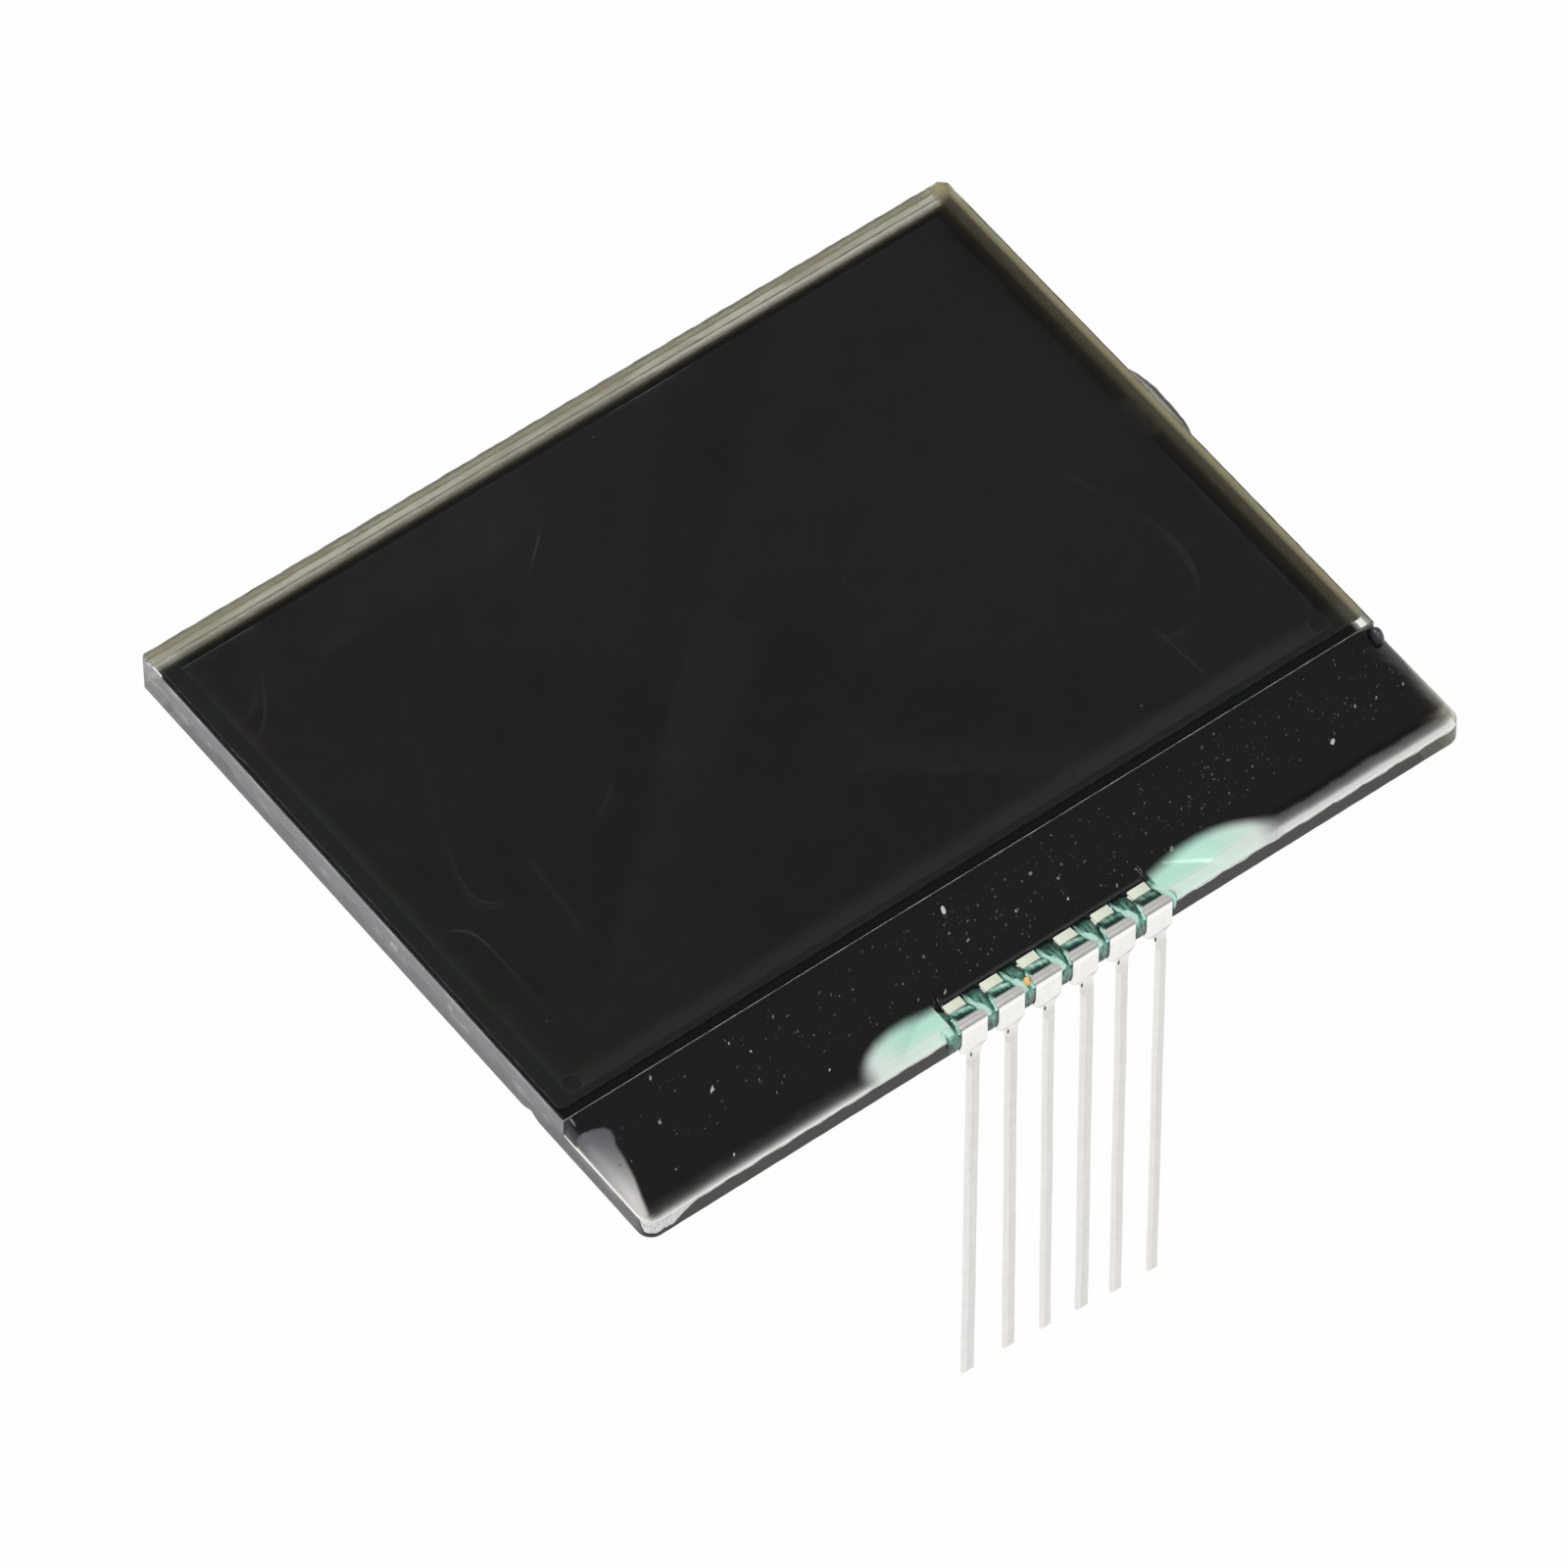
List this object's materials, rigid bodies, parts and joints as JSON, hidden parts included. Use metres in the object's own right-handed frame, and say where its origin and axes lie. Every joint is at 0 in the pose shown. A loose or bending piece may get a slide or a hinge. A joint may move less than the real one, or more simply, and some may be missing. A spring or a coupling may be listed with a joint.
{
  "type": "lcd screen",
  "caption": "Flat chip-on-glass LCD panel with a black display field, a potted ledge along one long side and a row of clip-on edge pins.",
  "frame": {"origin": "middle of the row of terminal pins, at the level of the longest pin's tip", "axes": "+X along the pin row, pin 1 towards -X; +Y from the ledge's outer edge towards the far edge; +Z out of the viewing side, against the leads"},
  "size_m": [0.0445, 0.0372, 0.0284],
  "materials": {
    "clear_glass": "clear float glass with cut edges",
    "front_film": "glossy brownish-black film",
    "rear_film": "matt dark grey film",
    "seal_epoxy": "cured epoxy",
    "liquid_crystal": "clear film",
    "transfer_paste": "silver-filled adhesive",
    "plug_adhesive": "hard glossy adhesive",
    "ledge_coat": "glossy bluish-black potting with dust specks",
    "silicon": "ground silicon",
    "bond_film": "film with conductive particles",
    "tinned_bronze": "satin tin plating",
    "uv_adhesive": "glossy blue-green UV-cured adhesive"
  },
  "bodies": {
    "root": {"front_polariser": "front_film", "front_glass": "clear_glass", "perimeter_seal": "seal_epoxy", "liquid_crystal": "liquid_crystal", "transfer_dot_left": "transfer_paste", "transfer_dot_right": "transfer_paste", "end_seal_plug": "plug_adhesive", "rear_glass": "clear_glass", "rear_polariser": "rear_film", "driver_chip": "silicon", "chip_bond_film": "bond_film", "ledge_coat": "ledge_coat", "pin_glue_bead": "uv_adhesive", "terminal_pin_1": "tinned_bronze", "terminal_pin_2": "tinned_bronze", "terminal_pin_3": "tinned_bronze", "terminal_pin_4": "tinned_bronze", "terminal_pin_5": "tinned_bronze", "terminal_pin_6": "tinned_bronze"}
  },
  "joints": []
}
